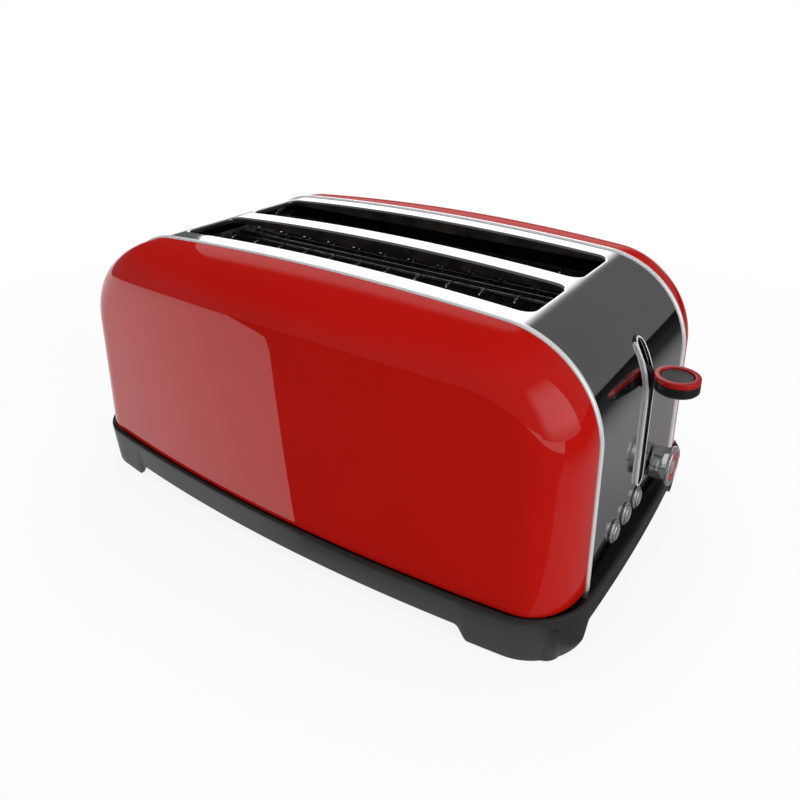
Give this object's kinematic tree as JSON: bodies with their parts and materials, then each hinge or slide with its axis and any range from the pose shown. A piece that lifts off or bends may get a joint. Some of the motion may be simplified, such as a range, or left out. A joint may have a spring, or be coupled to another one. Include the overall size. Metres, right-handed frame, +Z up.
{
  "type": "pop up toaster",
  "caption": "Pop up toaster with two long bread slots, red bowed covers, a mirror steel wrap over the top and ends, a dark plinth, a side lever with a round knob, a dial and push buttons.",
  "frame": {"origin": "middle of the outer box's footprint, on the surface the toaster stands on", "axes": "+X along the length towards the lever and dial, +Y towards the rear cover, +Z up"},
  "size_m": [0.383, 0.241, 0.167],
  "materials": {
    "plinth_plastic": "fine-grained moulded plastic, dark grey",
    "zinc_steel": "zinc-plated steel sheet",
    "rubber": "soft black rubber",
    "mirror_steel": "polished stainless steel",
    "red_enamel": "deep gloss red enamel",
    "chrome": "bright chrome plate",
    "reflector": "aluminised sheet",
    "mica": "mica board, flaky and slightly shiny",
    "heater_ribbon": "heat-stained resistance ribbon",
    "guide_wire": "bright drawn wire",
    "spring_steel": "oiled spring wire",
    "core_iron": "soft iron",
    "copper_wire": "enamelled copper wire",
    "board_laminate": "green circuit laminate",
    "black_plastic": "black moulded plastic",
    "red_plastic": "red satin-gloss plastic",
    "pad_plastic": "dark grey soft-touch inlay"
  },
  "bodies": {
    "housing": {"base_plinth": "plinth_plastic", "base_plate": "zinc_steel", "left_chassis_plate": "zinc_steel", "right_chassis_plate": "zinc_steel", "carriage_rod": "zinc_steel", "base_screw_front_left": "zinc_steel", "base_screw_front_right": "zinc_steel", "base_screw_rear_left": "zinc_steel", "base_screw_rear_right": "zinc_steel", "foot_pad_front_left": "rubber", "foot_pad_front_right": "rubber", "foot_pad_rear_left": "rubber", "foot_pad_rear_right": "rubber", "body_wrap": "mirror_steel", "front_cover": "red_enamel", "rear_cover": "red_enamel", "front_trim": "chrome", "rear_trim": "chrome", "lever_slot_bezel": "chrome", "front_heat_shield": "reflector", "rear_heat_shield": "reflector", "front_outer_element_board": "mica", "front_outer_element_winding": "heater_ribbon", "front_inner_element_board": "mica", "front_inner_element_winding": "heater_ribbon", "rear_outer_element_board": "mica", "rear_outer_element_winding": "heater_ribbon", "rear_inner_element_board": "mica", "rear_inner_element_winding": "heater_ribbon", "return_spring": "spring_steel", "magnet_core": "core_iron", "magnet_coil": "copper_wire", "control_board": "board_laminate", "dial_potentiometer": "black_plastic", "cord_gland": "black_plastic", "button_1_bezel": "chrome", "button_2_bezel": "chrome", "button_3_bezel": "chrome"},
    "carriage": {"carriage_bracket": "zinc_steel", "front_bread_rack": "guide_wire", "rear_bread_rack": "guide_wire", "armature_plate": "zinc_steel", "lever_handle": "black_plastic", "lever_knob_ring": "red_plastic", "lever_knob_pad": "pad_plastic"},
    "front_outer_guide": {"front_outer_bread_guide": "guide_wire"},
    "front_inner_guide": {"front_inner_bread_guide": "guide_wire"},
    "rear_outer_guide": {"rear_outer_bread_guide": "guide_wire"},
    "rear_inner_guide": {"rear_inner_bread_guide": "guide_wire"},
    "dial": {"dial_knob": "chrome", "dial_ring": "red_plastic", "dial_cap": "chrome", "dial_shaft": "zinc_steel"},
    "button_1": {"button_1": "chrome"},
    "button_2": {"button_2": "chrome"},
    "button_3": {"button_3": "chrome"},
    "tray": {"crumb_tray": "zinc_steel"}
  },
  "joints": [
    {"name": "carriage_slide", "type": "slide", "parent": "housing", "child": "carriage", "axis": [0, 0, 1], "range_m": [-0.055, 0.01], "stiffness_N_per_m": 150, "springref_m": 0.00578, "deforming": ["return_spring"]},
    {"name": "front_outer_guide_hinge", "type": "hinge", "parent": "housing", "child": "front_outer_guide", "pos_m": [-0.0095, -0.0528, 0.0308], "axis": [-1, 0, 0], "range_deg": [-1.2, 6.1]},
    {"name": "front_inner_guide_hinge", "type": "hinge", "parent": "housing", "child": "front_inner_guide", "pos_m": [-0.0095, -0.0092, 0.0308], "axis": [1, 0, 0], "range_deg": [-1.2, 6.1]},
    {"name": "rear_outer_guide_hinge", "type": "hinge", "parent": "housing", "child": "rear_outer_guide", "pos_m": [-0.0095, 0.0528, 0.0308], "axis": [1, 0, 0], "range_deg": [-1.2, 6.1]},
    {"name": "rear_inner_guide_hinge", "type": "hinge", "parent": "housing", "child": "rear_inner_guide", "pos_m": [-0.0095, 0.0092, 0.0308], "axis": [-1, 0, 0], "range_deg": [-1.2, 6.1]},
    {"name": "dial_turn", "type": "hinge", "parent": "housing", "child": "dial", "pos_m": [0.1665, 0.0286, 0.0503], "axis": [-1, 0, 0], "range_deg": [0, 270]},
    {"name": "button_1_press", "type": "slide", "parent": "housing", "child": "button_1", "axis": [-1, 0, 0], "range_m": [0, 0.002], "stiffness_N_per_m": 400, "springref_m": -0.001},
    {"name": "button_2_press", "type": "slide", "parent": "housing", "child": "button_2", "axis": [-1, 0, 0], "range_m": [0, 0.002], "stiffness_N_per_m": 400, "springref_m": -0.001},
    {"name": "button_3_press", "type": "slide", "parent": "housing", "child": "button_3", "axis": [-1, 0, 0], "range_m": [0, 0.002], "stiffness_N_per_m": 400, "springref_m": -0.001},
    {"name": "tray_slide", "type": "slide", "parent": "housing", "child": "tray", "axis": [-1, 0, 0], "range_m": [0, 0.25]}
  ],
  "couplings": [
    {"joint": "front_outer_guide_hinge", "follows": "carriage_slide", "rad_per_m": -1.904},
    {"joint": "front_inner_guide_hinge", "follows": "carriage_slide", "rad_per_m": -1.904},
    {"joint": "rear_outer_guide_hinge", "follows": "carriage_slide", "rad_per_m": -1.904},
    {"joint": "rear_inner_guide_hinge", "follows": "carriage_slide", "rad_per_m": -1.904}
  ]
}
